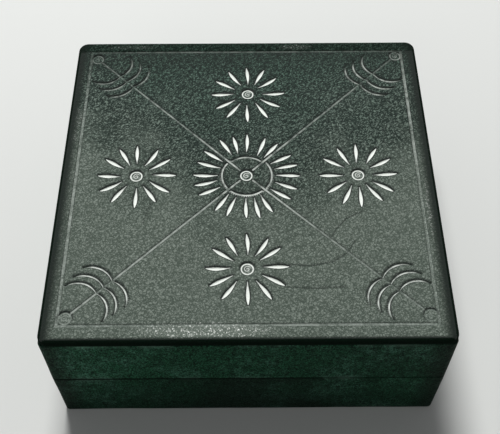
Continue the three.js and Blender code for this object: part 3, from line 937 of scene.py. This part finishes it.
def pressMarks(bm, faces, marks):
    # the relief of the marks, and what the hide's material reads of them, the painted shadow too
    names = ("markEdge", "markPale", "markShadow")
    edgeLayer, paleLayer, shadowLayer = (bm.verts.layers.float.new(name) for name in names)
    for v in bm.verts:
        v[edgeLayer] = 2.0
    verts = sorted({v for f in faces for v in f.verts}, key=lambda v: v.index)
    places = np.array([v.co[:2] for v in verts]) / mm
    for v, edge, pale, dark, height in zip(verts, *markField(places, marks)):
        v[edgeLayer], v[paleLayer], v[shadowLayer] = edge, pale, dark
        v.co.z += height * mm


def makeTopHide():
    marks = layOutMarks()
    bm = makeTopNet(marks)
    flat = bm.faces[:]
    turnDownEdge(bm)
    pressMarks(bm, flat, marks)
    for v in bm.verts:
        if v.co.z > boxTop - topHide["thickness"] * 0.9:
            v.co.z += topHide["waviness"] * (noise.noise(v.co * topHide["waves"]) - topHide["wavesSink"])
    for f in bm.faces:
        middle = f.calc_center_median()
        inset = min(reachX - abs(middle.x), reachY - abs(middle.y))
        turned = inset < topHide["edgeRadius"] * topHide["turned"]
        f.material_index = 1 if turned else 2 * (middle.y > topHide["duller"])
    piece = finishPiece("tooled_top_hide", bm, "lid", "lid_top_leather", tooledHide)
    piece.data.materials.append(turnedHide)
    piece.data.materials.append(backHide)
    return piece


topPiece = makeTopHide()
print("tooled top:", len(topPiece.data.polygons), "faces")


# side hides of the lid and the base
sideHides = {
    "thickness": 1.2 * mm,
    "foldRadius": 0.9 * mm,
    "full": 1.0 * mm,  # how far the sides belly out, nearly as far as the lip
    "fullAtFoot": 0.2 * mm,  # the same at the foot of the base
    "shoulder": 0.9 * mm,  # round top, under the lip
    "plumbRadius": 4.0 * mm,  # of the corners, which are pressed sharper than the lip's
    "turnIn": 12 * mm,  # how far the base's hide goes down inside
    "step": 3.0 * mm,
    "waviness": 0.22 * mm,
    "waves": ((38, 0.7), (110, 0.3)),  # to a metre, and their share
}


def wrinkle(bm, foldHeights):
    # slight unevenness of hide over board, and where its folds are paler: wear, and painted highlight
    foldWearAndHighlight = bm.verts.layers.float.new("foldWearAndHighlight")
    for v in bm.verts:
        lift = sum(noise.noise(v.co * scale) * share for scale, share in sideHides["waves"])
        away = Vector((v.co.x / reachX, v.co.y / reachY, 0))
        away = Vector((away.x, 0, 0)) if abs(away.x) > abs(away.y) else Vector((0, away.y, 0))
        v.co += away.normalized() * lift * sideHides["waviness"]
        near = min(abs(v.co.z - h) for h in foldHeights)
        v[foldWearAndHighlight] = max(0.0, 1 - near / (sideLook["foldWidth"] * mm))


def sideSection(node):
    # bottom, top, outside and back of the band, from the CAD node's own box, and both faces inside
    lo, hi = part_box(node)
    inset, thick = reachX - hi.x, sideHides["thickness"]
    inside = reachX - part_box("lid_wall_lining")[1].x
    return lo.z, hi.z, inset - sideHides["full"], inset + thick, inside, inside + thick


def makeSideHide(name, section, body, node, foldHeights):
    bm = carryRound(section, sideHides["step"], sideHides["plumbRadius"])
    wrinkle(bm, foldHeights)
    return finishPiece(name, bm, body, node, sideHide)


def makeLidSide():
    lo, hi, face, board, inside, back = sideSection("lid_side_leather")
    t, r, shoulder = sideHides["thickness"], sideHides["foldRadius"], sideHides["shoulder"]
    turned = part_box("lid_wall_lining")[0].z - boxShape["film"]
    section = bend(face + shoulder, hi - shoulder, shoulder, 90, 180)
    section += divide((face, hi - shoulder), (face, lo + r), sideHides["step"])
    section += bend(face + r, lo + r, r, 180, 270)
    section += bend(back - r, lo + r, r, 270, 360)
    section += [(back, turned), (inside, turned), (inside, lo + t), (board, lo + t), (board, hi)]
    return makeSideHide("lid_side_hide", section, "lid", "lid_side_leather", (lo, hi))


def makeBaseSide():
    lo, hi, face, board, inside, back = sideSection("base_wall_leather")
    t, r = sideHides["thickness"], sideHides["foldRadius"]
    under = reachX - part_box("base_underside_panel")[1].x - boxShape["film"]
    turned = hi - sideHides["turnIn"]
    section = [(under, lo), (under, lo + t), (board, lo + t), (board, hi - t), (inside, hi - t)]
    section += [(inside, turned), (back, turned)]
    section += bend(back - r, hi - r, r, 0, 90)
    section += bend(face + r, hi - r, r, 90, 180)
    foot = face + sideHides["full"] - sideHides["fullAtFoot"]
    section += divide((face, hi - r), (foot, lo + r), sideHides["step"])
    section += bend(foot + r, lo + r, r, 180, 270)
    return makeSideHide("base_side_hide", section, "base", "base_wall_leather", (lo, hi))


lidSide = makeLidSide()
baseSide = makeBaseSide()
print("side hides:", len(lidSide.data.polygons), len(baseSide.data.polygons))


# suede pasted over the cards inside, and the hide under the base
suedeCloths = {
    "thickness": 0.8 * mm,
    "edgeRound": 0.25 * mm,
    "step": 5.0 * mm,
    "waviness": 0.10 * mm,
    "waves": 60,  # to a metre
    "evenRim": 1.0 * mm,  # the top of a strip has no waves
    "neckCorner": 3.0 * mm,
    "skirt": 8.0 * mm,  # how far the neck's cloth goes down behind the base's rim
}
undersideHide = {"edgeRound": 0.5 * mm}


def makeFlatPiece(name, node, body, material, look):
    # a flat cut piece with softly rounded edges
    lo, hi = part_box(node)
    inset, r = reachX - hi.x, look["edgeRound"]
    section = [(inset + r, lo.z), (inset, lo.z + r), (inset, hi.z - r), (inset + r, hi.z)]
    bm = carryRound(section, suedeCloths["step"], boxShape["plumbRadius"], closed=False)
    return finishPiece(name, bm, body, node, material, smooth=False), (hi.x - lo.x, hi.y - lo.y)


def makeSuedeRing(name, node, body, section, plumbRadius):
    # a strip of suede carried round
    bm = carryRound(section, suedeCloths["step"], plumbRadius)
    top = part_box(node)[1].z - suedeCloths["evenRim"]
    for v in bm.verts:
        v.co.z += suedeCloths["waviness"] * noise.noise(v.co * suedeCloths["waves"]) * (v.co.z < top)
    return finishPiece(name, bm, body, node, suedeCloth)


def makeLidSuedes():
    flat, size = makeFlatPiece("lid_top_suede", "lid_top_lining", "lid",
                               suedeCloth, suedeCloths)
    lo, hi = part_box("lid_wall_lining")
    inset, t, r = reachX - hi.x, suedeCloths["thickness"], suedeCloths["edgeRound"]
    section = [(inset, lo.z), (inset + t - r, lo.z), (inset + t, lo.z + r)]
    section += divide((inset + t, lo.z + r), (inset + t, hi.z), suedeCloths["step"])
    section += [(inset + t, hi.z), (inset, hi.z)]
    plumb = boxShape["plumbRadius"]
    strip = makeSuedeRing("lid_wall_suede", "lid_wall_lining", "lid", section, plumb)


def makeBaseSuedes():
    flat, size = makeFlatPiece("base_floor_suede", "base_floor_lining", "base",
                               suedeCloth, suedeCloths)
    lo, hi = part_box("neck_lining")
    outer, t, step = reachX - hi.x, suedeCloths["thickness"], suedeCloths["step"]
    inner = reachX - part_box("base_floor_lining")[1].x - boxShape["film"]
    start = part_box("base_wall_leather")[1].z - suedeCloths["skirt"]
    top = hi.z
    section = [(inner, lo.z)] + divide((inner, lo.z), (inner, top - t), step)
    section += bend(inner - t, top - t, t, 0, 90, 4) + bend(outer + t, top - t, t, 90, 180, 4)
    section += divide((outer, top - t), (outer, start), step) + [(outer, start), (outer + t, start)]
    section += [(outer + t, top - t), (inner - t, top - t), (inner - t, lo.z)]
    plumb = outer + suedeCloths["neckCorner"]
    strip = makeSuedeRing("neck_suede", "neck_lining", "base", section, plumb)


makeLidSuedes()
makeBaseSuedes()
makeFlatPiece("underside_hide", "base_underside_panel", "base", sideHide, undersideHide)
print("suede and underside made")


# the cards stay the frame's own
for name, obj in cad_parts.items():
    obj.data.materials.clear()
    obj.data.materials.append(pressedCard)


# floor, lamps and world
studio = {
    "floor": (0.66, 0.67, 0.65, 1),
    "floorRadius": 6,
    "floorRoughness": 0.85,
    "sky": (0.95, 0.97, 1.0, 1),
    "world": 0.12,  # strength of the sky, and how bright it is where it is seen
    "backdrop": 0.85,
    "aim": (0, 0, 0.05),
    "window": {"place": (-0.20, 1.05, 1.95), "size": 0.7, "watts": 52},
    "fill": {"place": (-0.90, -2.40, 1.60), "size": 1.6, "watts": 9},
}


def makeStudio(look):
    bm = bmesh.new()
    bmesh.ops.create_circle(bm, cap_ends=True, segments=64, radius=look["floorRadius"])
    material, shader = newMaterial("floorPaint")
    feed(shader, {"Base Color": look["floor"], "Roughness": look["floorRoughness"]})
    floor = addObject("floor", meshOf(bm, "floor", material))
    for name in ("window", "fill"):
        lamp = bpy.data.lights.new(name, "AREA")
        lamp.shape = "DISK"
        lamp.size = look[name]["size"]
        lamp.energy = look[name]["watts"]
        obj = addObject(name, lamp)
        obj.location = look[name]["place"]
        obj.rotation_euler = (Vector(look["aim"]) - obj.location).to_track_quat("-Z", "Y").to_euler()
    world = bpy.data.worlds.new("studio")
    world.use_nodes = True
    sky = world.node_tree.nodes["Background"]
    rays = addNode(sky, "ShaderNodeLightPath").outputs
    seen = addMath("MAXIMUM", rays["Is Camera Ray"], rays["Is Transmission Ray"])
    seen = addMath("MAXIMUM", seen, rays["Is Glossy Ray"])
    strength = addRange(seen, 0, 1, look["world"], look["backdrop"])
    feed(sky, {"Color": look["sky"], "Strength": strength})
    bpy.context.scene.world = world


makeStudio(studio)
bpy.context.scene.view_settings.view_transform = "Standard"
print("studio made")
